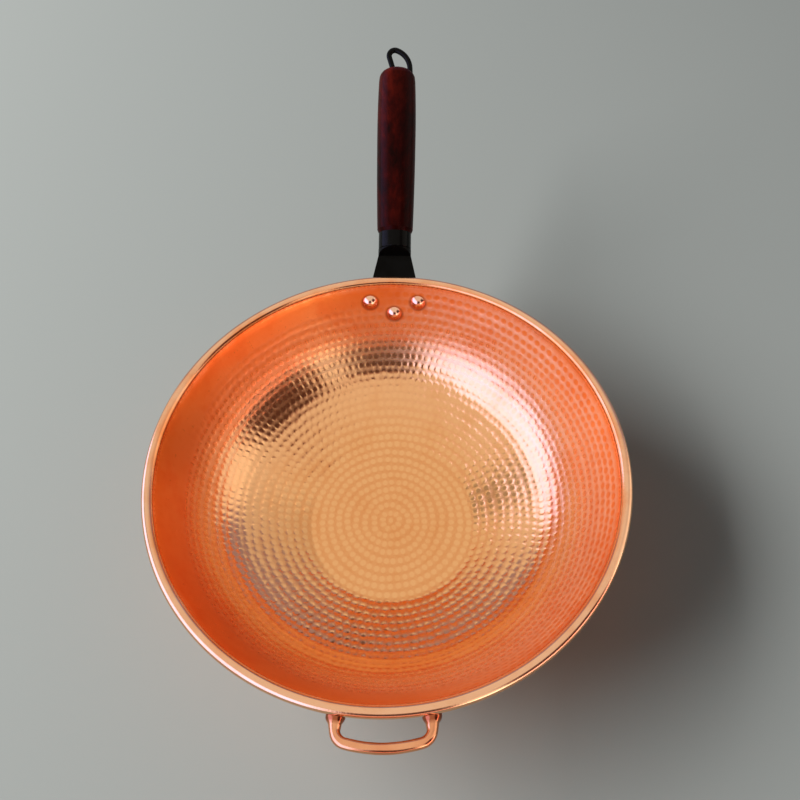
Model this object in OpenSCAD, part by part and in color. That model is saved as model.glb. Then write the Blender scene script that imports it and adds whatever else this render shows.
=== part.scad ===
// Hammered copper wok with a turned wooden grip and a bent helper handle.
// The origin is the centre of the flat bottom, Z is up and the long handle points to +Y.

/* [Bowl] */
// Outside diameter over the rolled rim
rim_d = 320; // [304:1:336]
// Inside diameter of the flat bottom
base_d = 116; // [104:1:126]
// Width of the steep wall, seen from above, out to the rim's outside
wall_w = 21; // [18:0.5:25]
// Width of the haunch that turns up into the wall, seen from above
haunch_w = 35; // [30:1:40]
// Thickness of the copper sheet
sheet_t = 1.8; // [1.4:0.1:2.2]
// Diameter of the rolled bead round the rim
bead_d = 7.5; // [6.5:0.1:8.5]

/* [Long handle] */
// Rise of the handle above the level
handle_rise = 29; // [24:1:33]
// Length of the wood that shows
grip_len = 129; // [115:1:150]
// Diameter of the grip where it is thickest
grip_d = 30; // [28:0.5:34]
// Diameter of the grip beside the ferrule
grip_root_d = 27.5; // [26:0.5:28]
// Outside diameter of the ferrule
ferrule_d = 25; // [23:0.5:26]
// Length of the ferrule
ferrule_len = 12.5; // [10:0.5:18]
// Thickness of the bracket
strap_t = 3; // [2.5:0.5:3.5]
// Diameter of the rod that holds the grip
tang_d = 8; // [6:0.5:10]

/* [Helper handle] */
// Distance between the centres of its legs
helper_w = 54; // [46:1:64]
// Diameter of its rod
helper_d = 6.3; // [5:0.1:8]
// Straight part of each leg outside the bead
helper_leg = 7.8; // [5:0.2:16]
// Rise of its legs above the level
helper_rise = 15; // [10:1:22]
// How far it sits off the point opposite the grip, in degrees
helper_turn = 1.8; // [0:0.2:4]

/* [Hanging loop] */
// Diameter of its rod
loop_d = 4.2; // [3.5:0.1:5]

/* [Rivets] */
// Diameter of the shanks
rivet_d = 6; // [5:0.5:7]
// Diameter of the domed heads inside the bowl
rivet_head_d = 11.8; // [10:0.2:13]
// Sideways distance between the two upper rivets
rivet_span = 36.6; // [32:0.2:42]

/* [Hidden] */
$fn = 96;

// Slopes of the bowl in degrees, from the bottom up to the bead
knuckle_in = 10;
slope_base = 24.5;
slope_belly = 30;
slope_haunch = 66;
slope_wall = 68;
curl_gap = 0.5;

// Degrees to a step along the arcs of a section
knuckle_step = 8;
belly_step = 1.4;
haunch_step = 5;
wall_step = 0.7;
bead_step = 18;

// How far solids run past one another where they join or cut
overlap = 1;
spare = 2;
trim = 60;

// Fits
bead_clear = 0.4;
shank_clear = 0.1;
tenon_clear = 0.1;
tang_clear = 0.1;
loop_clear = 0.1;

// Joints between lengths of bent rod
joint_ball = 0.02;
joint_gap = 0.01;

// Rivets
rivet_head_h = 3.4;
rivet_drop_hi = 15;
rivet_drop_lo = 25.6;
tail_d = 7.6;
tail_h = 0.4;
sink_h = 1.4;

// Bracket
pad_margin = 8;
strap_root_w = 38.8;
neck_len = 5;
neck_start = 21.2;
strap_wide_at = 8;
strap_back = 12;
tang_len = 82;

// Ferrule and grip
ferrule_wall = 1.2;
ferrule_floor = 2;
ferrule_round = 1;
tenon_gap = 0.3;
chamfer_len = 2.8;
swell_at = 85;
tail_len = 9;
grip_tail_d = 28.5;
shoulder_r = 7;
end_step = 0.2;
bore_spare = 2;

// Hanging loop, as a path that starts in the wood
loop_x = -2.9;
loop_sink = 6;
loop_lean = 17;
loop_leg = 18.1;
loop_tight_r = 4.4;
loop_tight_turn = 127;
loop_wide_r = 16;
loop_wide_turn = 67;
loop_leg_back = 10;

// Helper handle
helper_corner_r = 8;
helper_bow = 16;
helper_foot_d = 10;
helper_foot_len = 5.5;
helper_root = 9;
foot_bite = 2;
helper_below = 5.2;
helper_out = 0.75;

// Bowl section, inner face, as arcs that run into one another
bead_r = bead_d / 2;
function arc_r(r0, r1, s0, s1) = (r1 - r0) / (sin(s1) - sin(s0));
function arc_pts(c, rad, s0, s1, n) = [for (i = [0 : n]) let (s = s0 + (s1 - s0) * i / n)
  [c[0] + rad * sin(s), c[1] - rad * cos(s)]];
function steps(s0, s1, st) = max(2, ceil(abs(s1 - s0) / st));

haunch_r = rim_d / 2 - wall_w;
belly_r = haunch_r - haunch_w;
kn_c = [base_d / 2, sheet_t + knuckle_in];
kn_end = [kn_c[0] + knuckle_in * sin(slope_base), kn_c[1] - knuckle_in * cos(slope_base)];
be_r = arc_r(kn_end[0], belly_r, slope_base, slope_belly);
be_c = [kn_end[0] - be_r * sin(slope_base), kn_end[1] + be_r * cos(slope_base)];
be_end = [be_c[0] + be_r * sin(slope_belly), be_c[1] - be_r * cos(slope_belly)];
ha_r = arc_r(be_end[0], haunch_r, slope_belly, slope_haunch);
ha_c = [be_end[0] - ha_r * sin(slope_belly), be_end[1] + ha_r * cos(slope_belly)];
ha_end = [ha_c[0] + ha_r * sin(slope_haunch), ha_c[1] - ha_r * cos(slope_haunch)];
bead_cr = rim_d / 2 - bead_r;
wall_top = bead_cr - bead_r * sin(slope_wall);
wa_r = arc_r(ha_end[0], wall_top, slope_haunch, slope_wall);
wa_c = [ha_end[0] - wa_r * sin(slope_haunch), ha_end[1] + wa_r * cos(slope_haunch)];
wa_end = [wall_top, wa_c[1] - wa_r * cos(slope_wall)];
bead_cz = wa_end[1] - bead_r * cos(slope_wall);
bead_end = slope_wall - 360 + acos((bead_r - sheet_t - curl_gap) / bead_r);

function flip(v) = [for (i = [len(v) - 1 : -1 : 0]) v[i]];
function tail(v) = [for (i = [1 : len(v) - 1]) v[i]];

// Inner face, offset outwards by a thickness: the upper part from the belly's end, and the whole
function skin_top(t) = concat(
  arc_pts(ha_c, ha_r + t, slope_belly, slope_haunch, steps(slope_belly, slope_haunch, haunch_step)),
  tail(arc_pts(wa_c, wa_r + t, slope_haunch, slope_wall, steps(slope_haunch, slope_wall, wall_step))));
function skin(t) = concat(
  arc_pts(kn_c, knuckle_in + t, 0, slope_base, steps(0, slope_base, knuckle_step)),
  tail(arc_pts(be_c, be_r + t, slope_base, slope_belly, steps(slope_base, slope_belly, belly_step))),
  tail(skin_top(t)));

function bead_pts(rad, h0, h1) = [for (i = [0 : steps(h0, h1, bead_step)])
  let (h = h0 + (h1 - h0) * i / steps(h0, h1, bead_step))
  [bead_cr - rad * sin(h), bead_cz + rad * cos(h)]];

bowl_section = concat(
  [[0, sheet_t]],
  skin(0),
  tail(bead_pts(bead_r, slope_wall, bead_end)),
  flip(tail(bead_pts(bead_r - sheet_t, slope_wall, bead_end))),
  flip(skin(sheet_t)),
  [[0, 0]]);

// A place on the inner face of the wall, a distance down the wall from the bead
function wall_s(drop) = slope_wall - drop / wa_r * 180 / PI;
function wall_pt(drop) = [wa_c[0] + wa_r * sin(wall_s(drop)), wa_c[1] - wa_r * cos(wall_s(drop))];
function side_turn(x, drop) = -asin(x / wall_pt(drop)[0]);

module at_wall(drop, turn) {
  rotate([0, 0, turn])
    translate([0, wall_pt(drop)[0], wall_pt(drop)[1]])
      rotate([wall_s(drop), 0, 0])
        children();
}

// Solid of revolution inside the wall, thickened by an amount, open above the bead
module inside_of(t) {
  rotate_extrude($fn = 360)
    polygon(concat(
      [[0, 0]],
      skin_top(t),
      [[wall_top + t * sin(slope_wall) + trim / 2 * cos(slope_wall),
        wa_end[1] - t * cos(slope_wall) + trim / 2 * sin(slope_wall)]],
      [[0, wa_end[1] + trim / 2]]));
}

// The bead as a full ring
module bead_ring() {
  rotate_extrude($fn = 360)
    polygon(bead_pts(bead_r, slope_wall, slope_wall - 360 + bead_step));
}

// The frame of the long handle: Y along the grip, X across, Z up
module at_handle() {
  translate([0, bead_cr + (bead_r + bead_clear + strap_t / 2) * sin(handle_rise),
    bead_cz - (bead_r + bead_clear + strap_t / 2) * cos(handle_rise)])
    rotate([handle_rise, 0, 0])
      children();
}

// A rod bent in the plane, as steps of [length] or [radius, turn], turns to the right positive
// Neighbouring lengths stop a hair short of each other and a ball joins them
module bent_rod(path, d, i = 0) {
  if (i < len(path)) {
    if (i > 0) sphere(d = d + joint_ball);
    if (len(path[i]) == 1) {
      translate([0, joint_gap, 0])
        rotate([-90, 0, 0]) cylinder(h = path[i][0] - 2 * joint_gap, d = d);
      translate([0, path[i][0], 0]) bent_rod(path, d, i + 1);
    } else {
      short = joint_gap / path[i][0] * 180 / PI;
      translate([path[i][0], 0, 0]) {
        rotate([0, 0, 180 - path[i][1] + short])
          rotate_extrude(angle = path[i][1] - 2 * short)
            translate([path[i][0], 0]) circle(d = d);
        rotate([0, 0, -path[i][1]])
          translate([-path[i][0], 0, 0])
            bent_rod(path, d, i + 1);
      }
    }
  }
}

function spots() = [[rivet_span / 2, rivet_drop_hi], [-rivet_span / 2, rivet_drop_hi], [0, rivet_drop_lo]];

module bowl() {
  color([0.80, 0.42, 0.24])
  difference() {
    rotate_extrude() polygon(bowl_section);
    for (p = spots())
      at_wall(p[1], side_turn(p[0], p[1]))
        translate([0, 0, -3 * sheet_t])
          cylinder(h = 6 * sheet_t, d = rivet_d + shank_clear);
  }
}

// Domed head inside, shank, and a tail peened into a countersink
cap_r = (rivet_head_d * rivet_head_d / 4 + rivet_head_h * rivet_head_h) / (2 * rivet_head_h);
pad_out = sheet_t + strap_t;

module rivet_solid() {
  intersection() {
    translate([0, 0, rivet_head_h - cap_r]) sphere(r = cap_r);
    translate([0, 0, -overlap]) cylinder(h = rivet_head_h + 2 * overlap, d = rivet_head_d);
  }
}

module rivet_shank(extra) {
  translate([0, 0, -pad_out - spare]) cylinder(h = pad_out + spare + overlap, d = rivet_d + extra);
  translate([0, 0, -pad_out]) cylinder(h = sink_h, d1 = tail_d + extra, d2 = rivet_d + extra);
  translate([0, 0, -pad_out - spare]) cylinder(h = spare, d = tail_d + extra);
}

module handle_rivets() {
  color([0.82, 0.46, 0.26])
  for (p = spots()) {
    intersection() {
      at_wall(p[1], side_turn(p[0], p[1])) rivet_solid();
      inside_of(0);
    }
    intersection() {
      at_wall(p[1], side_turn(p[0], p[1])) rivet_shank(0);
      inside_of(pad_out + tail_h);
    }
  }
}

// Outline of the pad: a triangle round the three rivets with round corners
pad_half = rivet_span / 2;
pad_drop = rivet_drop_lo - rivet_drop_hi;
pad_lean = atan(pad_half / pad_drop);
pad_side = sqrt(pad_half * pad_half + pad_drop * pad_drop);

module pad_outline() {
  translate([pad_half, 0]) circle(r = pad_margin);
  translate([-pad_half, 0]) circle(r = pad_margin);
  translate([0, -pad_drop]) circle(r = pad_margin);
  polygon([[-pad_half, pad_margin], [-pad_half, 0], [0, -pad_drop], [pad_half, 0], [pad_half, pad_margin]]);
  for (m = [0, 1])
    mirror([m, 0])
      translate([0, -pad_drop])
        rotate([0, 0, 90 - pad_lean])
          translate([0, -pad_margin]) square([pad_side, pad_margin]);
}

module handle_bracket() {
  strap_slope = (strap_root_w - ferrule_d) / 2 / (neck_start + strap_wide_at);
  back_half = strap_root_w / 2 + (strap_back - strap_wide_at) * strap_slope;
  color([0.10, 0.10, 0.11])
  difference() {
    union() {
      intersection() {
        at_wall(rivet_drop_hi, 0)
          translate([0, 0, -trim / 2]) linear_extrude(height = trim) pad_outline();
        inside_of(pad_out);
        at_handle() translate([-trim, -trim, -2 * trim]) cube([2 * trim, 2 * trim, 2 * trim + strap_t / 2]);
      }
      at_handle() {
        translate([0, 0, -strap_t / 2])
          linear_extrude(height = strap_t)
            polygon([
              [-back_half, -strap_back], [back_half, -strap_back],
              [ferrule_d / 2, neck_start], [ferrule_d / 2, neck_start + neck_len],
              [-ferrule_d / 2, neck_start + neck_len], [-ferrule_d / 2, neck_start]]);
        intersection() {
          translate([0, neck_start - overlap, 0])
            rotate([-90, 0, 0]) cylinder(h = neck_len + overlap, d = ferrule_d);
          rotate([90, 0, 90])
            translate([0, 0, -ferrule_d])
              linear_extrude(height = 2 * ferrule_d)
                polygon([[neck_start - overlap, -strap_t / 2], [neck_start, -strap_t / 2],
                  [neck_start + neck_len, -ferrule_d / 2], [neck_start + neck_len, ferrule_d / 2],
                  [neck_start, strap_t / 2], [neck_start - overlap, strap_t / 2]]);
        }
        translate([0, neck_start + neck_len - overlap, 0])
          rotate([-90, 0, 0]) cylinder(h = tang_len + overlap, d = tang_d);
      }
    }
    inside_of(sheet_t);
    for (p = spots())
      at_wall(p[1], side_turn(p[0], p[1])) rivet_shank(shank_clear);
  }
}

ferrule_at = neck_start + neck_len;
wood_at = ferrule_at + ferrule_len;

module ferrule() {
  ri = ferrule_d / 2 - ferrule_wall;
  color([0.05, 0.05, 0.05])
  at_handle()
    translate([0, ferrule_at, 0])
      rotate([-90, 0, 0])
        rotate_extrude()
          polygon(concat(
            [[tang_d / 2 + tang_clear, 0]],
            [for (k = [0 : 3]) [ferrule_d / 2 - ferrule_round * (1 - sin(k * 30)),
              ferrule_round * (1 - cos(k * 30))]],
            [[ferrule_d / 2, ferrule_len], [ri, ferrule_len], [ri, ferrule_floor],
              [tang_d / 2 + tang_clear, ferrule_floor]]));
}

// Turned outline of the grip, radius against length
tail_y = grip_len - tail_len;
fall_r = (pow(tail_y - swell_at, 2) + pow((grip_d - grip_tail_d) / 2, 2)) / (grip_d - grip_tail_d);
rise_r = (pow(swell_at - chamfer_len, 2) + pow((grip_d - grip_root_d) / 2, 2)) / (grip_d - grip_root_d);
grip_outline = concat(
  [[ferrule_d / 2, 0]],
  [for (i = [0 : 6]) let (y = chamfer_len + (swell_at - chamfer_len) * i / 6)
    [grip_d / 2 - rise_r + sqrt(rise_r * rise_r - pow(swell_at - y, 2)), y]],
  [for (i = [1 : 4]) let (y = swell_at + (tail_y - swell_at) * i / 4)
    [grip_d / 2 - fall_r + sqrt(fall_r * fall_r - pow(y - swell_at, 2)), y]],
  [for (k = [0 : 6]) [grip_tail_d / 2 - shoulder_r - end_step + shoulder_r * cos(k * 15),
    grip_len - shoulder_r + shoulder_r * sin(k * 15)]]);

module grip() {
  tenon_r = ferrule_d / 2 - ferrule_wall - tenon_clear;
  tenon_len = ferrule_len - ferrule_floor - tenon_gap;
  bore_r = tang_d / 2 + tang_clear;
  bore_end = tang_len - ferrule_len + bore_spare;
  color([0.28, 0.07, 0.04])
  difference() {
    at_handle()
      translate([0, wood_at, 0])
        rotate([-90, 0, 0])
          rotate_extrude()
            polygon(concat(
              [[0, bore_end], [bore_r, bore_end], [bore_r, -tenon_len], [tenon_r, -tenon_len], [tenon_r, 0]],
              grip_outline,
              [[0, grip_len]]));
    loop_rod(loop_d + 2 * loop_clear, loop_clear);
  }
}

module loop_rod(d, extra) {
  at_handle()
    translate([loop_x, wood_at + grip_len, 0])
      rotate([0, 0, loop_lean])
        translate([0, -loop_sink - extra, 0])
          bent_rod([[loop_leg + extra], [loop_tight_r, loop_tight_turn], [loop_wide_r, loop_wide_turn],
            [loop_leg_back + extra]], d);
}

module hanging_loop() {
  color([0.06, 0.06, 0.06]) loop_rod(loop_d, 0);
}

// Rod bent to a flat bow, its flared feet coped round the bead and brazed
module helper_handle() {
  bow_r = (helper_w / 2 - helper_corner_r * (1 - sin(helper_bow))) / sin(helper_bow);
  leg = helper_leg - helper_foot_len + foot_bite;
  color([0.78, 0.42, 0.24])
  difference() {
    rotate([0, 0, 180 + helper_turn])
      translate([0, bead_cr + helper_out, bead_cz - helper_below])
        rotate([helper_rise, 0, 0]) {
          translate([-helper_w / 2, helper_foot_len - foot_bite, 0])
            bent_rod([[leg], [helper_corner_r, 90 - helper_bow], [bow_r, 2 * helper_bow],
              [helper_corner_r, 90 - helper_bow], [leg]], helper_d);
          for (x = [-helper_w / 2, helper_w / 2])
            translate([x, 0, 0])
              rotate([-90, 0, 0])
                rotate_extrude()
                  polygon([[0, -helper_root], [helper_foot_d / 2, -helper_root], [helper_foot_d / 2, 0],
                    [(helper_d + joint_ball) / 2, helper_foot_len], [0, helper_foot_len]]);
        }
    inside_of(sheet_t);
    bead_ring();
  }
}

bowl();
handle_rivets();
handle_bracket();
ferrule();
grip();
hanging_loop();
helper_handle();
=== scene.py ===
import bpy
import math
import random
from collections import namedtuple
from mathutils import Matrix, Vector, noise as cell_noise
from mathutils.geometry import delaunay_2d_cdt


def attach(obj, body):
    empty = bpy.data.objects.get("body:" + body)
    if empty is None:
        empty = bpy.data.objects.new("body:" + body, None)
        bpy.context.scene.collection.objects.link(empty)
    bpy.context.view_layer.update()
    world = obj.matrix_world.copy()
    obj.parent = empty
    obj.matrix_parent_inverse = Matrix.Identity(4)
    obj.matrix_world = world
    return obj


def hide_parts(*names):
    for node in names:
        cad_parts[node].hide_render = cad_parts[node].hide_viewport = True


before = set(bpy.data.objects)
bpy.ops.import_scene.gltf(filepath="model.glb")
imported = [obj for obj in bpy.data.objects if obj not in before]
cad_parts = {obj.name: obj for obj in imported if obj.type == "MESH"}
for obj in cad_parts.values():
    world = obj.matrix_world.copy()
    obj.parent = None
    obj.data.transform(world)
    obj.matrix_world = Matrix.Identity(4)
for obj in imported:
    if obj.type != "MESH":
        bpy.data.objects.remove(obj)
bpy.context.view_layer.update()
MM = 0.001
TURN = 2 * math.pi
rnd = random.Random(7)

# Sizes of the bowl, as in the source, in millimetres, and the slopes where its arcs end, in degrees
SHEET = 1.8
BEAD_R = 3.75
RIM_R = 160.0
CURL_GAP = 0.5
KNUCKLE = 10.0
BASE_R, BELLY_R, HAUNCH_R = 58.0, 104.0, 139.0
KNUCKLE_END, BELLY_END, HAUNCH_END, WALL_END = 24.5, 30.0, 66.0, 68.0

# Hammer marks: spacing of their rings, half size as a share of the spacing, and depth
ROW = 6.5
FILL = 0.425
DEPTH = 0.115
# Each ring of a mark: share of its radius, points on it, share of its depth, and how far it counts as edge
MARK_RINGS = ((0.0, 1, 1.0, 0.0), (0.60, 6, 0.97, 0.0), (0.86, 8, 0.82, 0.1), (1.04, 12, 0.10, 1.0))
# Scatter of the marks: places round and up the face, size, depth and tilt
ROUND_SCATTER, UP_SCATTER, WANDER = 0.05, 0.35, 0.5
SIZE_SCATTER, DEPTH_SCATTER, TILT_SCATTER = (0.93, 1.02), (0.75, 1.2), 0.03
UP_SHARE, MIDDLE_SHARE = 0.97, 0.8
# Where the upper wall is worn smooth: angles in degrees, distances below the bead, and by how much
WORN_FROM, WORN_TO, WORN_DEEPER = (78, 98), (268, 300), (130, 185)
WORN_BELOW, WORN_MORE, WORN_FADE, WORN_SHARE = 25, 14, 11, 0.93

# A shallow worked crease just under the bead: distance below it, depth, and turn by half a step
CREASE = ((0.5, -0.05, 0.5), (1.1, -0.17, 0.0), (1.8, -0.10, 0.5), (2.6, 0.0, 0.0))
# The next value scales, by depth, how strongly the worked crease takes the painted highlight of the lines
# between marks and their extra roughness
CREASE_TINT = -2.2
CLEAR_OF_CREASE = 3.1

# Points round the bowl, rings round the bead outside and inside, and rings down the outside and under it
COLS = 256
BEAD_OUT, BEAD_IN = 22, 8
OUT_RINGS = 38
BASE_RINGS = (40.0, 20.0)
# Facets of the outside: width, depth, where a facet ends as a share of its width, and where they fade out
FACET, FACET_DEPTH, FACET_END = 15.0, 0.22, 0.62
FADE_UNDER_BEAD, FADE_OVER_BASE = 9, 8

# Rivet heads: place across the wall, and distance below the bead
RIVETS = ((18.3, 15.0), (-18.3, 15.0), (0.0, 25.6))

# Helper handle: half width between the legs, corner radius, slope where the bow starts, and ends of a leg
HELPER_HALF, HELPER_CORNER, HELPER_BOW = 27.0, 8.0, 16.0
HELPER_START, HELPER_LEG = -4.2, 7.8
# Its tilt and turn round the bowl in degrees, its place out from the axis and above the floor, and its rod
HELPER_TILT, HELPER_TURN = 15, 181.8
HELPER_Y, HELPER_Z = 157.0, 88.97
HELPER_R, HELPER_UNEVEN = 3.15, 0.05
# Its flared feet: how much thicker, and between which places outwards each flare dies away
HELPER_FLARES = ((0.9, 2.0, 10.0), (1.6, 0.5, 5.0))
# Points round the rod and along its stretches, and how far the feet go into the wall
HELPER_SIDES = 28
LEG_STEPS, CORNER_STEPS, BOW_STEPS = 24, 12, 16
FOOT_SINK = 0.7

# Key light: direction and distance, what it points at, its size and its power
KEY_AZ, KEY_EL, KEY_AWAY = -88, 37, 3.3
KEY_TARGET = (0.0, 0.0, 0.05)
KEY_SIZE = (3.3, 1.45)
KEY_POWER = 139.0

# Level of the surroundings for matt surfaces, and how much more of it the camera sees
PLAIN = 0.125
SKY = 0.30

# Half the width of the floor, in metres
FLOOR_HALF = 15

# Radii in metres between which the bowl's copper changes from floor to wall and from wall to bead
# Of the first two spans, the painted shade on the lines between marks weakens across the first and gives
# way to their painted highlight across the second
LINE_SHADE_SPAN, BRIGHT_LINES = (0.07, 0.10), (0.108, 0.124)
SATIN_WALL, ROUGH_WALL, BRUSHED_WALL = (0.114, 0.138), (0.116, 0.142), (0.118, 0.142)
SHINY_BEAD, SMOOTH_BEAD = (0.150, 0.153), (0.1515, 0.1530)
RIM = RIM_R * MM
# Distances in metres between which grime and painted contact shade darken the wall round a rivet, and
# radii between which painted shade darkens the rod where its feet meet the bowl
GRIME_AND_SHADE_REACH = (0.0078, 0.0060)
JOINT_SHADE_RADII = (0.1652, 0.1628)

# Camera at the photograph's place: lens, place in metres, and turns about X, Y and Z in degrees
LENS = 36.0
CAMERA_AT = (0.02906, -0.24807, 0.56036)
CAMERA_TURNS = (32.562, 1.483, 1.75)

# Colours
FLOOR_GREY = (0.455, 0.48, 0.46, 1)
# Tints of the copper by share of the rim's radius: partly its own tone and partly painted reflection, the
# golden floor and the deep red upper wall standing in for the colour of what they mirror
COPPER_AND_REFLECTION_TINTS = ((0.0, (0.91, 0.43, 0.16)), (0.45, (0.93, 0.46, 0.18)), (0.80, (0.94, 0.47, 0.21)),
              (0.86, (0.96, 0.38, 0.15)), (0.945, (0.98, 0.28, 0.06)), (0.97, (0.94, 0.50, 0.27)))
STAIN = (0.93, 0.80, 0.68)
# Painted shade for the lines between marks on the floor, and a painted highlight for them on the wall
LINE_SHADE = (0.86, 0.66, 0.52)
LINE_HIGHLIGHT = (0.99, 0.60, 0.36)
WALL_PATCH = (0.93, 0.66, 0.50)
SPECK = (0.45, 0.20, 0.14)
# Grime and painted contact shade round the rivet heads
GRIME_AND_SHADE = (0.50, 0.34, 0.28)
# Painted shade on the helper rod where its feet meet the bowl
JOINT_SHADE = (0.42, 0.22, 0.16)
ROD_LIGHT, ROD_DARK = (0.93, 0.43, 0.20), (0.80, 0.28, 0.12)
STUD_LIGHT, STUD_DARK = (0.94, 0.52, 0.32), (0.86, 0.38, 0.22)
WOOD_TINTS = ((0.36, (0.007, 0.0008, 0.0008)), (0.50, (0.030, 0.0018, 0.0014)),
              (0.66, (0.085, 0.006, 0.003)))
WHITE = (1.0, 1.0, 1.0)
DAY_CAST, LOW_CAST, SHADE_CAST = (1.0, 1.08, 2.15), (0.98, 0.92, 1.45), (1.15, 0.65, 0.65)


def sn(a):
    return math.sin(math.radians(a))


def cs(a):
    return math.cos(math.radians(a))


def ease(a, b, x):
    """A smooth step from 0 at a to 1 at b."""
    t = min(1.0, max(0.0, (x - a) / (b - a)))
    return t * t * (3 - 2 * t)


# Profile of the bowl's inner face, as arcs of radius and height
Arc = namedtuple("Arc", "centre radius start stop end")


def arc(start, end_r, start_slope, end_slope):
    """The arc from a point out to a radius, from its slopes at both ends."""
    radius = (end_r - start[0]) / (sn(end_slope) - sn(start_slope))
    centre = (start[0] - radius * sn(start_slope), start[1] + radius * cs(start_slope))
    end = (centre[0] + radius * sn(end_slope), centre[1] - radius * cs(end_slope))
    return Arc(centre, radius, start_slope, end_slope, end)


knuckle = arc((BASE_R, SHEET), BASE_R + KNUCKLE * sn(KNUCKLE_END), 0.0, KNUCKLE_END)
belly = arc(knuckle.end, BELLY_R, KNUCKLE_END, BELLY_END)
haunch = arc(belly.end, HAUNCH_R, BELLY_END, HAUNCH_END)
wall = arc(haunch.end, RIM_R - BEAD_R - BEAD_R * sn(WALL_END), HAUNCH_END, WALL_END)
PROFILE = (knuckle, belly, haunch, wall)
BEAD_C = (RIM_R - BEAD_R, wall.end[1] - BEAD_R * cs(WALL_END))
LENGTHS = [math.radians(a.stop - a.start) * a.radius for a in PROFILE]
S_END = sum(LENGTHS, BASE_R)


def on_face(s, off=0.0):
    """Radius, height and slope of the inner face at a distance s along it; off moves outwards."""
    if s <= BASE_R:
        return max(s, 0.0), SHEET - off, 0.0
    s -= BASE_R
    for part, length in zip(PROFILE, LENGTHS):
        if s <= length or part is wall:
            slope = part.start + math.degrees(s / part.radius)
            reach = part.radius + off
            return part.centre[0] + reach * sn(slope), part.centre[1] - reach * cs(slope), slope
        s -= length


# Plane map of the face that keeps angles, so that a flat triangulation also suits the steep wall
STEP = 0.25


def plane_radii():
    """Radius on the map for each step along the face."""
    radii = [0.0]
    log_r = math.log(STEP)
    for i in range(1, int(S_END / STEP) + 3):
        if i > 1:
            log_r += STEP / on_face((i - 0.5) * STEP)[0]
        radii.append(math.exp(log_r))
    return radii


PLANE_R = plane_radii()


def on_plane(s, th):
    """Where a point of the face lands on the plane map."""
    k = min(int(s / STEP), len(PLANE_R) - 2)
    share = s / STEP - k
    r = PLANE_R[k] + (PLANE_R[k + 1] - PLANE_R[k]) * share
    return Vector((r * math.cos(th), r * math.sin(th)))


def new_object(name, verts, faces):
    """A smooth shaded object from vertices in millimetres."""
    me = bpy.data.meshes.new(name)
    me.from_pydata([tuple(c * MM for c in v) for v in verts], [], faces)
    me.update()
    ob = bpy.data.objects.new(name, me)
    bpy.context.scene.collection.objects.link(ob)
    me.polygons.foreach_set("use_smooth", [True] * len(me.polygons))
    return ob


def pitch(r):
    """Spacing of the marks along a ring of a given radius."""
    if r < 50:
        return 4.6 + 0.9 * r / 50
    if r < 100:
        return 5.7
    if r < 128:
        return 5.1
    return 5.1 + 1.0 * min(1.0, (r - 128) / 20)


def wear(s, th):
    """How deep the marks stay: the upper wall is smoothed on the left and behind the rivets."""
    a = math.degrees(th) % 360.0
    left = ease(*WORN_FROM, a) * (1 - ease(*WORN_TO, a))
    limit = S_END - WORN_BELOW - WORN_MORE * ease(*WORN_DEEPER, a)
    return 1.0 - WORN_SHARE * left * ease(limit, limit + WORN_FADE, s)


class FacePoints:
    """Points of the inner face: distance along it, angle, height off it, and share of a mark's edge."""

    def __init__(self):
        self.places = []
        self.edge = []

    def add(self, s, th, height, edge=0.0):
        self.places.append((s, th, height))
        self.edge.append(edge)


def add_mark(points, middle, s, th, half_up, half_round, depth, fade):
    """One dished mark, tilted a little to a side of its own."""
    tip_up = rnd.uniform(-TILT_SCATTER, TILT_SCATTER)
    tip_round = rnd.uniform(-TILT_SCATTER, TILT_SCATTER)
    start = rnd.random()
    for share, count, deep, edge in MARK_RINGS:
        for q in range(count):
            a = TURN * (q + start) / count
            up = half_up * share * math.sin(a)
            across = half_round * share * math.cos(a)
            height = -depth * deep + (tip_up * up + tip_round * across) * deep * fade
            # how much this point belongs to the lines between marks, which carry painted shade on the
            # floor, a painted highlight on the wall, and extra roughness
            line = edge * fade * (0.45 + 0.55 * math.sin(a) ** 2)
            if middle:
                points.add(math.hypot(up, across), math.atan2(across, up), height, line)
            else:
                points.add(s + up, th + across / max(on_face(s + up)[0], 1.0), height, line)


def add_row(points, row):
    """One ring of marks, with its own start and a little scatter."""
    middle = row == 0
    row_s = row * ROW
    row_r = on_face(row_s)[0]
    count = 1 if middle else max(6, round(TURN * row_r / pitch(row_r)))
    phase = rnd.random() * TURN
    for j in range(count):
        th = phase + TURN * (j + rnd.uniform(-ROUND_SCATTER, ROUND_SCATTER)) / count
        s = row_s + rnd.uniform(-UP_SCATTER, UP_SCATTER) + WANDER * math.sin(3 * th + row)
        fade = wear(s, th)
        grow = rnd.uniform(*SIZE_SCATTER)
        half_up = FILL * ROW * grow * (MIDDLE_SHARE if middle else UP_SHARE)
        half_round = FILL * (ROW * MIDDLE_SHARE if middle else TURN * row_r / count) * grow
        if S_END - s < half_up + CLEAR_OF_CREASE:
            continue
        depth = DEPTH * rnd.uniform(*DEPTH_SCATTER) * fade
        add_mark(points, middle, s, th, half_up, half_round, depth, fade)


def add_crease(points):
    """The top of the wall and the worked crease below it."""
    for k in range(COLS):
        points.add(S_END, TURN * k / COLS, 0.0)
    for down, height, turn in CREASE:
        for k in range(COLS):
            th = TURN * (k + turn) / COLS
            wave = 0.75 + 0.25 * math.sin(41 * th) * math.sin(13 * th + 1)
            points.add(S_END - down, th, height * wave, CREASE_TINT * height)


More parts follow.
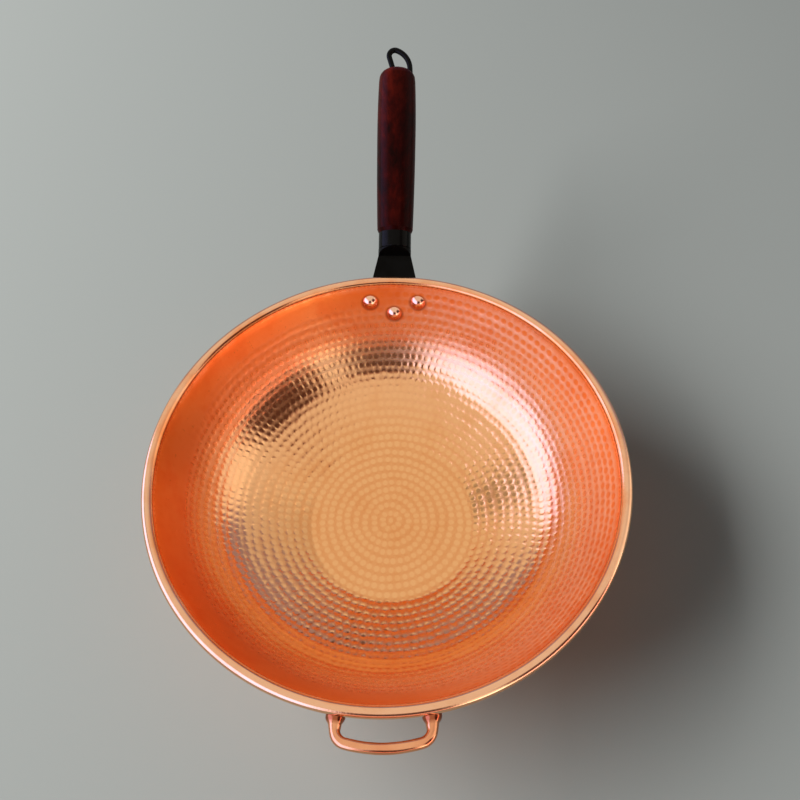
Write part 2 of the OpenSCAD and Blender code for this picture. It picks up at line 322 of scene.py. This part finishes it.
def inner_face(points):
    """Vertices, faces and edge values of the inner face, and the vertex that each point became."""
    flat = [on_plane(s, th) for s, th, height in points.places]
    plane, _, triangles, sources = delaunay_2d_cdt(flat, [], [], 0, 1e-5, True)[:4]
    verts, edge, vertex_of = [], [], {}
    for i, ids in enumerate(sources):
        s, th, height = points.places[ids[0]]
        edge.append(points.edge[ids[0]])
        r, z, slope = on_face(s)
        r, z = r - height * sn(slope), z + height * cs(slope)
        verts.append((r * math.cos(th), r * math.sin(th), z))
        for q in ids:
            vertex_of[q] = i
    # every triangle turns the same way, facing into the bowl
    faces = []
    for triangle in triangles:
        a, b, c = (plane[i] for i in triangle[:3])
        turn = (b[0] - a[0]) * (c[1] - a[1]) - (b[1] - a[1]) * (c[0] - a[0])
        faces.append(tuple(triangle) if turn > 0 else tuple(reversed(triangle)))
    return verts, faces, edge, vertex_of


def circle(r, z):
    """A level ring of points."""
    return [(r * math.cos(TURN * k / COLS), r * math.sin(TURN * k / COLS), z) for k in range(COLS)]


def bead_rings():
    """Rings of points round the outside of the bead and back along its inside."""
    curl = math.degrees(math.acos((BEAD_R - SHEET - CURL_GAP) / BEAD_R))
    start, stop = WALL_END, WALL_END - 360 + curl
    inner_r = BEAD_R - SHEET
    rings = []
    for i in range(1, BEAD_OUT + 1):
        a = start + (stop - start) * i / BEAD_OUT
        rings.append(circle(BEAD_C[0] - BEAD_R * sn(a), BEAD_C[1] + BEAD_R * cs(a)))
    for i in range(BEAD_IN):
        a = stop + (start - stop) * i / (BEAD_IN - 1)
        rings.append(circle(BEAD_C[0] - inner_r * sn(a), BEAD_C[1] + inner_r * cs(a)))
    return rings


def faceted_ring(s, fade):
    """One ring of the outside, with wide shallow hammer facets."""
    r, z, _ = on_face(s, SHEET)
    ring = []
    for k in range(COLS):
        a = TURN * k / COLS
        away = cell_noise.voronoi((r * math.cos(a) / FACET, r * math.sin(a) / FACET, z / FACET))[0][0]
        dent = FACET_DEPTH * fade * max(0.0, 1 - (away / FACET_END) ** 2)
        dent_r, dent_z, _ = on_face(s, SHEET - dent)
        ring.append((dent_r * math.cos(a), dent_r * math.sin(a), dent_z))
    return ring


def outside_rings():
    """Rings of points from the bead down the outside and across the bottom."""
    rings = []
    for i in range(1, OUT_RINGS + 1):
        s = S_END - (S_END - BASE_R) * i / OUT_RINGS
        fade = ease(0, FADE_UNDER_BEAD, S_END - s) * ease(0, FADE_OVER_BASE, s - BASE_R)
        rings.append(faceted_ring(s, fade))
    return rings + [circle(r, 0.0) for r in BASE_RINGS]


def add_ring(verts, faces, last, ring):
    """Adds a ring and the faces that join it to the last one."""
    now = list(range(len(verts), len(verts) + COLS))
    verts.extend(ring)
    for k in range(COLS):
        m = (k + 1) % COLS
        faces.append((last[k], last[m], now[m], now[k]))
    return now


def hammered_bowl():
    """The whole bowl as one mesh: marked inner face, rolled bead, faceted outside and flat bottom."""
    points = FacePoints()
    for row in range(int((S_END - 1.0) / ROW) + 1):
        add_row(points, row)
    top = len(points.places)
    add_crease(points)
    verts, faces, edge, vertex_of = inner_face(points)
    last = [vertex_of[top + k] for k in range(COLS)]
    for ring in bead_rings():
        last = add_ring(verts, faces, last, ring)
    edge += [0.0] * (len(verts) - len(edge))
    for ring in outside_rings():
        last = add_ring(verts, faces, last, ring)
    middle = len(verts)
    verts.append((0.0, 0.0, 0.0))
    for k in range(COLS):
        faces.append((last[k], last[(k + 1) % COLS], middle))
    edge += [-1.0] * (len(verts) - len(edge))
    ob = new_object("hammered_bowl", verts, faces)
    # 1 in the creases between marks, 0 on open metal, -1 on the outside
    ob.data.attributes.new("crease", "FLOAT", "POINT").data.foreach_set("value", edge)
    return ob


def outer_r(z):
    """Radius of the wall's outer face at a height."""
    spots = [on_face(S_END - k * 0.3, SHEET) for k in range(121)]
    return min(spots, key=lambda spot: abs(spot[1] - z))[0]


def helper_path():
    """Middle line of the helper handle in its own plane: place across, place outwards, and slope."""
    bow_r = (HELPER_HALF - HELPER_CORNER * (1 - sn(HELPER_BOW))) / sn(HELPER_BOW)
    path = []
    for k in range(LEG_STEPS + 1):
        path.append((-HELPER_HALF, HELPER_START + (HELPER_LEG - HELPER_START) * k / LEG_STEPS, 90.0))
    for k in range(1, CORNER_STEPS + 1):
        a = (90.0 - HELPER_BOW) * k / CORNER_STEPS
        x = -HELPER_HALF + HELPER_CORNER - HELPER_CORNER * cs(a)
        path.append((x, HELPER_LEG + HELPER_CORNER * sn(a), 90.0 - a))
    top = path[-1][1] - bow_r * cs(HELPER_BOW)
    for k in range(1, BOW_STEPS + 1):
        a = HELPER_BOW - HELPER_BOW * k / BOW_STEPS
        path.append((-bow_r * sn(a), top + bow_r * cs(a), a))
    return path + [(-x, y, -a) for x, y, a in reversed(path[:-1])]


def helper_girth(y, k):
    """Radius of the rod, a little uneven, and flared at the feet."""
    girth = HELPER_R + HELPER_UNEVEN * math.sin(0.5 * k) * math.sin(0.21 * k + 1)
    for more, near, far in HELPER_FLARES:
        girth += more * (1 - ease(near, far, y))
    return girth


def helper_mesh():
    """Bent rod with flared feet that run up to the bead and the wall, as one swept tube."""
    path = helper_path()
    ends = (0, len(path) - 1)
    turn = math.radians(HELPER_TURN)
    sides = HELPER_SIDES
    verts, faces = [], []
    for k, (x, y, slope) in enumerate(path):
        girth = helper_girth(y, k)
        for q in range(sides):
            a = 360.0 * q / sides
            rad = girth * (1.0 + 0.012 * math.sin(3 * math.radians(a) + 0.3 * k))
            side, up = rad * cs(a), rad * sn(a)
            wx, out = x - side * sn(slope), y + side * cs(slope)
            wy = HELPER_Y + out * cs(HELPER_TILT) - up * sn(HELPER_TILT)
            wz = HELPER_Z + out * sn(HELPER_TILT) + up * cs(HELPER_TILT)
            if k in ends:
                reach = outer_r(wz) - FOOT_SINK
                wy = math.sqrt(max(reach * reach - wx * wx, 1.0))
            verts.append((wx * math.cos(turn) - wy * math.sin(turn),
                          wx * math.sin(turn) + wy * math.cos(turn), wz))
    for k in range(len(path) - 1):
        for q in range(sides):
            m = (q + 1) % sides
            faces.append((k * sides + q, k * sides + m, (k + 1) * sides + m, (k + 1) * sides + q))
    faces.append(tuple(reversed(range(sides))))
    faces.append(tuple(range((len(path) - 1) * sides, len(path) * sides)))
    return new_object("bent_helper", verts, faces)


def nodes_of(mat):
    """An empty node tree with a principled shader."""
    mat.use_nodes = True
    nt = mat.node_tree
    nt.nodes.clear()
    out = nt.nodes.new("ShaderNodeOutputMaterial")
    bsdf = nt.nodes.new("ShaderNodeBsdfPrincipled")
    nt.links.new(bsdf.outputs[0], out.inputs["Surface"])
    return nt, bsdf


def maths(nt, op, a, b=None, clamp=False):
    """A maths node on sockets or plain numbers."""
    m = nt.nodes.new("ShaderNodeMath")
    m.operation = op
    m.use_clamp = clamp
    for i, v in enumerate((a, b)):
        if v is None:
            continue
        if isinstance(v, (int, float)):
            m.inputs[i].default_value = v
        else:
            nt.links.new(v, m.inputs[i])
    return m.outputs[0]


def add(nt, a, b):
    return maths(nt, "ADD", a, b)


def less(nt, a, b):
    return maths(nt, "SUBTRACT", a, b)


def mul(nt, *values):
    out = values[0]
    for v in values[1:]:
        out = maths(nt, "MULTIPLY", out, v)
    return out


def remap(nt, v, span, to=(0.0, 1.0), smooth=False):
    """Moves a value from one span to another, held at its ends."""
    m = nt.nodes.new("ShaderNodeMapRange")
    if smooth:
        m.interpolation_type = "SMOOTHSTEP"
    for name, val in (("From Min", span[0]), ("From Max", span[1]), ("To Min", to[0]), ("To Max", to[1])):
        m.inputs[name].default_value = val
    nt.links.new(v, m.inputs["Value"])
    return m.outputs["Result"]


def noise(nt, coord, scale, detail, rough):
    n = nt.nodes.new("ShaderNodeTexNoise")
    for name, val in (("Scale", scale), ("Detail", detail), ("Roughness", rough)):
        n.inputs[name].default_value = val
    nt.links.new(coord, n.inputs["Vector"])
    return n.outputs["Fac"]


def voronoi(nt, coord, scale):
    n = nt.nodes.new("ShaderNodeTexVoronoi")
    n.inputs["Scale"].default_value = scale
    nt.links.new(coord, n.inputs["Vector"])
    return n


def ramp(nt, fac, stops):
    r = nt.nodes.new("ShaderNodeValToRGB")
    els = r.color_ramp.elements
    while len(els) < len(stops):
        els.new(0.5)
    for e, (pos, col) in zip(els, stops):
        e.position = pos
        e.color = (*col, 1.0)
    nt.links.new(fac, r.inputs["Fac"])
    return r.outputs["Color"]


def mixed(nt, mode, fac, a, b):
    m = nt.nodes.new("ShaderNodeMix")
    m.data_type = "RGBA"
    m.blend_type = mode
    for name, v in (("Factor", fac), ("A", a), ("B", b)):
        if isinstance(v, tuple):
            m.inputs[name].default_value = (*v, 1.0)
        else:
            nt.links.new(v, m.inputs[name])
    return m.outputs["Result"]


def vector_maths(nt, op, a, b=None):
    m = nt.nodes.new("ShaderNodeVectorMath")
    m.operation = op
    nt.links.new(a, m.inputs[0])
    if b is not None:
        m.inputs[1].default_value = b
    return m


def flat_place(nt, x, y):
    """A place on a plane, for noise that is stretched along one of its axes."""
    c = nt.nodes.new("ShaderNodeCombineXYZ")
    nt.links.new(x, c.inputs[0])
    nt.links.new(y, c.inputs[1])
    return c.outputs[0]


def object_place(nt):
    return nt.nodes.new("ShaderNodeTexCoord").outputs["Object"]


def bump(nt, bsdf, height, strength, dist):
    b = nt.nodes.new("ShaderNodeBump")
    b.inputs["Strength"].default_value = strength
    b.inputs["Distance"].default_value = dist
    nt.links.new(height, b.inputs["Height"])
    nt.links.new(b.outputs["Normal"], bsdf.inputs["Normal"])


def set_all(bsdf, **values):
    """Sets sockets by name, with _ for a space."""
    for name, v in values.items():
        bsdf.inputs[name.replace("_", " ")].default_value = v


def copper(name, light, dark, rough, joint_shade=None):
    """Clouded copper. An optional pair of radii in metres gives where painted shade darkens it towards the
    bowl, where the rod's feet meet the wall.
    """
    mat = bpy.data.materials.new(name)
    nt, bsdf = nodes_of(mat)
    place = object_place(nt)
    cloud = noise(nt, place, 22.0, 5.0, 0.6)
    col = ramp(nt, cloud, ((0.30, dark), (0.62, light)))
    # painted shade on the rod's feet, darker towards the bowl's wall
    if joint_shade is not None:
        level = vector_maths(nt, "MULTIPLY", place, (1, 1, 0)).outputs[0]
        r = vector_maths(nt, "LENGTH", level).outputs["Value"]
        shaded = remap(nt, add(nt, r, mul(nt, cloud, 0.002)), joint_shade, (0.0, 0.9))
        col = mixed(nt, "MULTIPLY", shaded, col, JOINT_SHADE)
    nt.links.new(col, bsdf.inputs["Base Color"])
    set_all(bsdf, Metallic=1.0)
    fine = noise(nt, place, 420.0, 4.0, 0.65)
    nt.links.new(remap(nt, fine, (0.3, 0.7), (rough * 0.8, rough * 1.3)), bsdf.inputs["Roughness"])
    bump(nt, bsdf, noise(nt, place, 1500.0, 2.0, 0.6), 0.075, 0.0002)
    return mat


def black(name, base, rough, coat=0.0):
    """Black paint or lacquer with a faint cloud and a fine grit."""
    mat = bpy.data.materials.new(name)
    nt, bsdf = nodes_of(mat)
    place = object_place(nt)
    paler = tuple(c * 1.9 + 0.002 for c in base)
    cloud = noise(nt, place, 60.0, 4.0, 0.6)
    nt.links.new(ramp(nt, cloud, ((0.35, base), (0.7, paler))), bsdf.inputs["Base Color"])
    fine = noise(nt, place, 700.0, 3.0, 0.6)
    nt.links.new(remap(nt, fine, (0.3, 0.7), (rough * 0.8, rough * 1.25)), bsdf.inputs["Roughness"])
    set_all(bsdf, IOR=1.3, Specular_IOR_Level=0.12, Specular_Tint=(1.0, 0.85, 0.6, 1.0),
            Coat_Weight=coat, Coat_Roughness=0.1, Coat_IOR=1.25)
    bump(nt, bsdf, noise(nt, place, 900.0, 3.0, 0.5), 0.12, 0.0003)
    return mat


def wood(name):
    """Dark red-brown wood under a thin gloss, its grain along the grip."""
    mat = bpy.data.materials.new(name)
    nt, bsdf = nodes_of(mat)
    along = nt.nodes.new("ShaderNodeMapping")
    set_all(along, Scale=(1.0, 0.06, 1.0), Rotation=(math.radians(-29), 0, 0))
    nt.links.new(object_place(nt), along.inputs["Vector"])
    grain = noise(nt, along.outputs["Vector"], 160.0, 6.0, 0.7)
    broad = noise(nt, along.outputs["Vector"], 38.0, 3.0, 0.5)
    shade = add(nt, mul(nt, grain, 0.6), mul(nt, broad, 0.4))
    nt.links.new(ramp(nt, shade, WOOD_TINTS), bsdf.inputs["Base Color"])
    nt.links.new(remap(nt, grain, (0.3, 0.7), (0.36, 0.50)), bsdf.inputs["Roughness"])
    set_all(bsdf, IOR=1.25, Specular_IOR_Level=0.12, Specular_Tint=(1.0, 0.7, 0.45, 1.0),
            Coat_Weight=0.12, Coat_Roughness=0.1, Coat_IOR=1.2)
    bump(nt, bsdf, grain, 0.25, 0.0004)
    return mat


def rivet_places():
    """Centres of the three rivet heads on the inner face, in metres."""
    places = []
    for x, drop in RIVETS:
        r, z, _ = on_face(S_END - drop)
        places.append((x * MM, math.sqrt(r * r - x * x) * MM, z * MM))
    return places


def marked_tint(nt, place, x, rr, crease):
    """Colour of the copper, with painted shade on the lines between marks on the floor and a painted
    highlight on them on the wall, strongest towards +X.
    """
    # the tint by radius is partly the copper's own tone and partly painted reflection colour
    tint_and_reflection = ramp(nt, remap(nt, rr, (0.0, RIM)), COPPER_AND_REFLECTION_TINTS)
    stain = remap(nt, noise(nt, place, 42.0, 6.0, 0.65), (0.50, 0.72), (0.0, 0.55))
    col = mixed(nt, "MULTIPLY", stain, tint_and_reflection, STAIN)
    high = remap(nt, rr, BRIGHT_LINES)
    # painted shade on the lines between marks on the floor; a painted highlight on them on the wall,
    # growing towards +X
    line_shade = mul(nt, crease, remap(nt, rr, LINE_SHADE_SPAN, (0.6, 0.15)), less(nt, 1.0, high))
    col = mixed(nt, "MULTIPLY", line_shade, col, LINE_SHADE)
    line_highlight = mul(nt, remap(nt, x, (-0.03, 0.11), (0.15, 0.72)), high)
    col = mixed(nt, "MIX", mul(nt, crease, line_highlight), col, LINE_HIGHLIGHT)
    patch = remap(nt, noise(nt, place, 26.0, 4.0, 0.7), (0.50, 0.66), (0.0, 0.5))
    return mixed(nt, "MULTIPLY", mul(nt, patch, high), col, WALL_PATCH)


def specked(nt, place, col):
    """A few small dark specks."""
    specks = voronoi(nt, place, 34.0)
    pick = nt.nodes.new("ShaderNodeSeparateColor")
    nt.links.new(specks.outputs["Color"], pick.inputs[0])
    chosen = maths(nt, "GREATER_THAN", pick.outputs[0], 0.84)
    spot = mul(nt, remap(nt, specks.outputs["Distance"], (0.045, 0.02)), chosen, 0.8)
    return mixed(nt, "MULTIPLY", spot, col, SPECK)


def grimed_and_shaded(nt, place, col):
    """Grime and painted contact shade round the rivet heads: the wall darkens towards each head."""
    near = None
    for centre in rivet_places():
        away = vector_maths(nt, "DISTANCE", place, centre).outputs["Value"]
        near = away if near is None else maths(nt, "MINIMUM", near, away)
    return mixed(nt, "MULTIPLY", remap(nt, near, GRIME_AND_SHADE_REACH, (0.0, 0.85)), col, GRIME_AND_SHADE)


def streaks(nt, x, y, z, r):
    """Fine brushing that runs up the wall, and faint turning lines round it."""
    angle = maths(nt, "ARCTAN2", y, x)
    brush = noise(nt, flat_place(nt, mul(nt, angle, 110.0), mul(nt, z, 30.0)), 1.5, 4.0, 0.6)
    turned = noise(nt, flat_place(nt, mul(nt, angle, 1.5), mul(nt, add(nt, r, z), 500.0)), 1.2, 3.0, 0.6)
    return add(nt, mul(nt, brush, 0.6), mul(nt, turned, 0.4))


def bowl_copper(name):
    mat = bpy.data.materials.new(name)
    nt, bsdf = nodes_of(mat)
    place = object_place(nt)
    axes = nt.nodes.new("ShaderNodeSeparateXYZ")
    nt.links.new(place, axes.inputs[0])
    x, y, z = axes.outputs
    r = maths(nt, "SQRT", add(nt, mul(nt, x, x), mul(nt, y, y)))
    cloud = noise(nt, place, 18.0, 5.0, 0.6)
    # the radius with an uneven edge, for everything that changes from floor to wall
    rr = add(nt, r, mul(nt, less(nt, cloud, 0.5), 0.010))
    marks = nt.nodes.new("ShaderNodeAttribute")
    marks.attribute_name = "crease"
    crease = remap(nt, marks.outputs["Fac"], (0.0, 1.0))
    outside = remap(nt, marks.outputs["Fac"], (-0.5, -1.0))
    col = grimed_and_shaded(nt, place, specked(nt, place, marked_tint(nt, place, x, rr, crease)))
    nt.links.new(col, bsdf.inputs["Base Color"])
    # the upper wall is scratched to a satin, which scatters a share of the light; the bead isn't
    satin = remap(nt, rr, SATIN_WALL, (1.0, 0.74))
    polished = remap(nt, rr, SHINY_BEAD, (1.0, 1.3))
    nt.links.new(maths(nt, "MULTIPLY", satin, polished, clamp=True), bsdf.inputs["Metallic"])
    set_all(bsdf, Specular_IOR_Level=0.1)
    streak = streaks(nt, x, y, z, r)
    wall_rough = remap(nt, rr, ROUGH_WALL, (0.09, 0.30))
    smoother = remap(nt, r, SMOOTH_BEAD, (0.0, 0.17))
    rough = add(nt, less(nt, wall_rough, smoother), mul(nt, less(nt, streak, 0.5), 0.20))
    nt.links.new(add(nt, rough, mul(nt, crease, 0.15)), bsdf.inputs["Roughness"])
    on_wall = remap(nt, r, BRUSHED_WALL, (0.15, 1.0))
    fine = noise(nt, place, 1300.0, 3.0, 0.6)
    height = add(nt, mul(nt, streak, on_wall, 0.7), mul(nt, fine, 0.3))
    # small hammer blows on the outside
    cells = voronoi(nt, place, 170.0)
    cells.feature = "SMOOTH_F1"
    cells.inputs["Smoothness"].default_value = 0.5
    height = add(nt, height, mul(nt, cells.outputs["Distance"], outside, -1.2))
    bump(nt, bsdf, height, 0.16, 0.0004)
    return mat


def dress(ob, mat):
    """Gives every material slot of an object the same material."""
    me = ob.data
    if len(me.materials) == 0:
        me.materials.append(mat)
    for i in range(len(me.materials)):
        me.materials[i] = mat


def make_pieces():
    bowl = hammered_bowl()
    dress(bowl, bowl_copper("hammered_copper"))
    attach(bowl, "root")
    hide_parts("bowl")

    helper = helper_mesh()
    dress(helper, copper("rod_copper", ROD_LIGHT, ROD_DARK, 0.17, JOINT_SHADE_RADII))
    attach(helper, "root")
    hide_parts("helper_handle")

    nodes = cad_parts
    dress(nodes["handle_rivets"], copper("stud_copper", STUD_LIGHT, STUD_DARK, 0.14))
    dress(nodes["handle_bracket"], black("satin_black_steel", (0.0015, 0.0014, 0.0014), 0.34))
    dress(nodes["ferrule"], black("gloss_black", (0.0016, 0.0015, 0.0016), 0.2, 0.1))
    dress(nodes["hanging_loop"], black("loop_black", (0.0018, 0.0017, 0.0018), 0.22, 0.16))
    dress(nodes["grip"], wood("dark_wood"))


def make_floor():
    me = bpy.data.meshes.new("floor")
    a = FLOOR_HALF
    me.from_pydata([(-a, -a, 0), (a, -a, 0), (a, a, 0), (-a, a, 0)], [], [(0, 1, 2, 3)])
    floor = bpy.data.objects.new("floor", me)
    bpy.context.scene.collection.objects.link(floor)
    mat = bpy.data.materials.new("floor_grey")
    nt, bsdf = nodes_of(mat)
    set_all(bsdf, Base_Color=FLOOR_GREY, Roughness=0.9, Specular_IOR_Level=0.0)
    dress(floor, mat)


def make_camera():
    cam_data = bpy.data.cameras.new("camera")
    cam = bpy.data.objects.new("camera", cam_data)
    bpy.context.scene.collection.objects.link(cam)
    cam_data.sensor_width = 36.0
    cam_data.lens = LENS
    cam_data.clip_start = 0.01
    cam.location = CAMERA_AT
    cam.rotation_euler = [math.radians(a) for a in CAMERA_TURNS]
    bpy.context.scene.camera = cam


def direction(az, el):
    """Direction from an angle from +Y towards +X and a height above the level, in degrees."""
    return Vector((sn(az) * cs(el), cs(az) * cs(el), sn(el)))


def make_key():
    """Key light from the upper left, unseen in the metal."""
    light = bpy.data.lights.new("key", "AREA")
    light.shape = "RECTANGLE"
    light.size, light.size_y = KEY_SIZE
    light.energy = KEY_POWER
    key = bpy.data.objects.new("key", light)
    bpy.context.scene.collection.objects.link(key)
    key.location = direction(KEY_AZ, KEY_EL) * KEY_AWAY
    key.rotation_euler = (Vector(KEY_TARGET) - key.location).to_track_quat("-Z", "Y").to_euler()
    key.visible_glossy = False


def above(nt, v, a, b):
    """0 below a, 1 above b, with a soft change between them."""
    return remap(nt, v, (a, b), smooth=True)


def below(nt, v, a, b):
    """1 below a, 0 above b."""
    return above(nt, v, b, a)


def between(nt, v, a, b, c, d):
    """1 from b to c, with soft edges from a to b and from c to d."""
    return mul(nt, above(nt, v, a, b), below(nt, v, c, d))


def blob(nt, away, az, el, inner, outer):
    """A soft round spot: full within the inner angle, gone at the outer."""
    near = vector_maths(nt, "DOT_PRODUCT", away, direction(az, el)).outputs["Value"]
    return above(nt, near, cs(outer), cs(inner))


def lift(nt, level, amount, *masks):
    return add(nt, level, mul(nt, *masks, amount))


def dim(nt, level, share, *masks):
    return mul(nt, level, less(nt, 1.0, mul(nt, *masks, share)))


def degrees(nt, op, *values):
    return mul(nt, maths(nt, op, *values), 180 / math.pi)


def room_masks(nt, dx, dy, azim, elev):
    """The dark stretch beyond the handle, the daylight at the lower left, and two dark shapes in front."""
    # the top of the dark stretch falls towards the right
    low_edge = less(nt, elev, mul(nt, maths(nt, "MAXIMUM", azim, 0.0), 0.12))
    low = mul(nt, between(nt, azim, -49, -43, 53, 60), below(nt, low_edge, 23, 27))
    # the daylight is tallest in its middle
    off_axis = mul(nt, maths(nt, "ABSOLUTE", add(nt, azim, 122.0)), 0.24)
    tall = below(nt, add(nt, elev, off_axis), 44, 53)
    daylight = mul(nt, between(nt, azim, -169, -152, -62, -54), tall)
    from_front = degrees(nt, "ARCTAN2", dx, mul(nt, dy, -1.0))
    side = mul(nt, between(nt, azim, 91, 98, 135, 142), below(nt, elev, 44, 58))
    front = mul(nt, between(nt, from_front, -18, -12, 19, 25), below(nt, elev, 40, 52))
    return low, daylight, maths(nt, "MAXIMUM", side, front)


def room_level(nt, away, azim, elev, low, daylight, shade):
    """How bright the room is in each direction, for metal to mirror."""
    room = remap(nt, elev, (-2, 4), (0.5, 0.83), smooth=True)
    room = dim(nt, room, 0.55, low)
    room = dim(nt, room, 0.16, blob(nt, away, 42, 42, 8, 24))
    room = lift(nt, room, 0.86, daylight)
    room = dim(nt, room, 0.5, blob(nt, away, -70, 44, 4, 9))
    # paler panels on the right
    room = lift(nt, room, 0.30, between(nt, azim, 57, 64, 88, 95), below(nt, elev, 32, 44))
    room = lift(nt, room, 2.2, between(nt, azim, 84, 94, 152, 160), below(nt, elev, 10, 18))
    room = lift(nt, room, 0.30, between(nt, azim, 138, 143, 155, 160), below(nt, elev, 34, 46))
    return dim(nt, room, 0.90, shade, above(nt, elev, 10, 17))


def make_studio():
    """One plain level for matt surfaces, and a room of soft panels for metal to mirror."""
    world = bpy.data.worlds.new("studio")
    bpy.context.scene.world = world
    world.use_nodes = True
    world.cycles.sampling_method = "NONE"
    nt = world.node_tree
    away = nt.nodes.new("ShaderNodeTexCoord").outputs["Generated"]
    axes = nt.nodes.new("ShaderNodeSeparateXYZ")
    nt.links.new(away, axes.inputs[0])
    dx, dy, dz = axes.outputs
    elev = degrees(nt, "ARCSINE", dz)
    azim = degrees(nt, "ARCTAN2", dx, dy)
    low, daylight, shade = room_masks(nt, dx, dy, azim, elev)
    room = room_level(nt, away, azim, elev, low, daylight, shade)
    rays = nt.nodes.new("ShaderNodeLightPath").outputs
    glossy = rays["Is Glossy Ray"]
    level = add(nt, PLAIN, mul(nt, glossy, less(nt, room, PLAIN)))
    background = nt.nodes["Background"]
    nt.links.new(lift(nt, level, SKY, rays["Is Camera Ray"]), background.inputs["Strength"])
    cast = WHITE
    for mask, colour in ((daylight, DAY_CAST), (low, LOW_CAST), (shade, SHADE_CAST)):
        cast = mixed(nt, "MIX", mul(nt, glossy, mask), cast, colour)
    nt.links.new(cast, background.inputs["Color"])


make_pieces()
make_floor()
make_camera()
make_key()
make_studio()
bpy.context.scene.view_settings.view_transform = "Standard"

bpy.context.view_layer.update()
